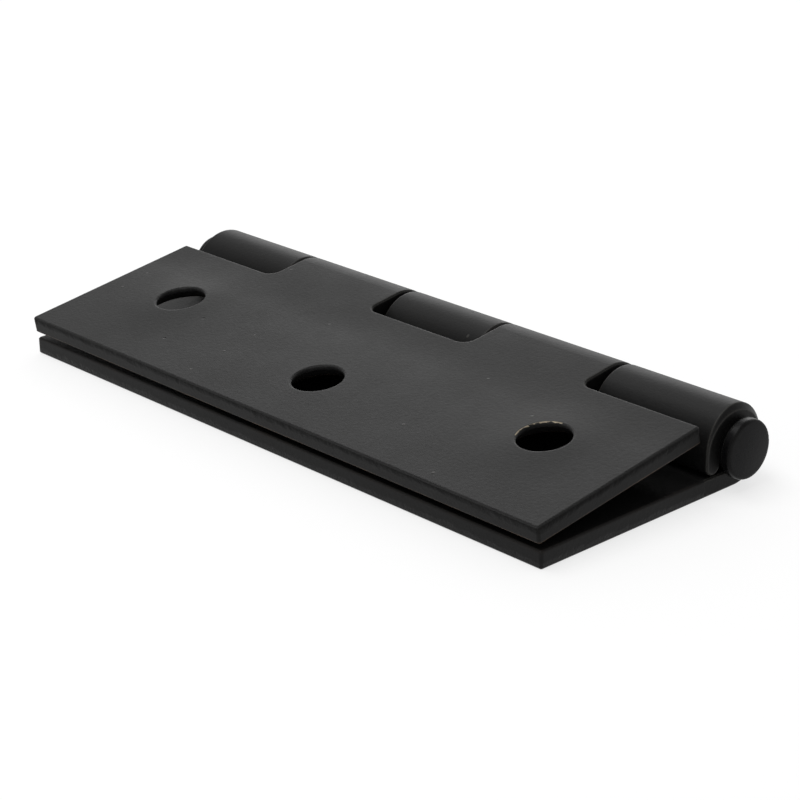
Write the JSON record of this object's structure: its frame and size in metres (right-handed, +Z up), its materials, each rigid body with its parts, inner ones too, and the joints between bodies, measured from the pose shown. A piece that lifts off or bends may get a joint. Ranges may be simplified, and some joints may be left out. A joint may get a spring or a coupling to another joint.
{
  "type": "butt hinge",
  "caption": "Black painted steel butt hinge with rolled knuckles on a headed pin and staggered countersunk screw holes, folded nearly shut; hangs a door, lid or gate.",
  "frame": {"origin": "midway between the lower leaf's two outer screw holes, on its outer face", "axes": "+X along the pin, +Y from the free edges to the knuckles, +Z up from the lower leaf's outer face"},
  "size_m": [0.0794, 0.0303, 0.0081],
  "materials": {
    "leaf_paint": "satin",
    "pin_paint": "satin"
  },
  "bodies": {
    "lower": {"lower_leaf": "leaf_paint", "hinge_pin": "pin_paint"},
    "upper": {"upper_leaf": "leaf_paint"}
  },
  "joints": [
    {"name": "leaf_swing", "type": "hinge", "parent": "lower", "child": "upper", "pos_m": [0, 0.0139, 0.00405], "axis": [-1, 0, 0], "range_deg": [-1.2, 270]}
  ]
}
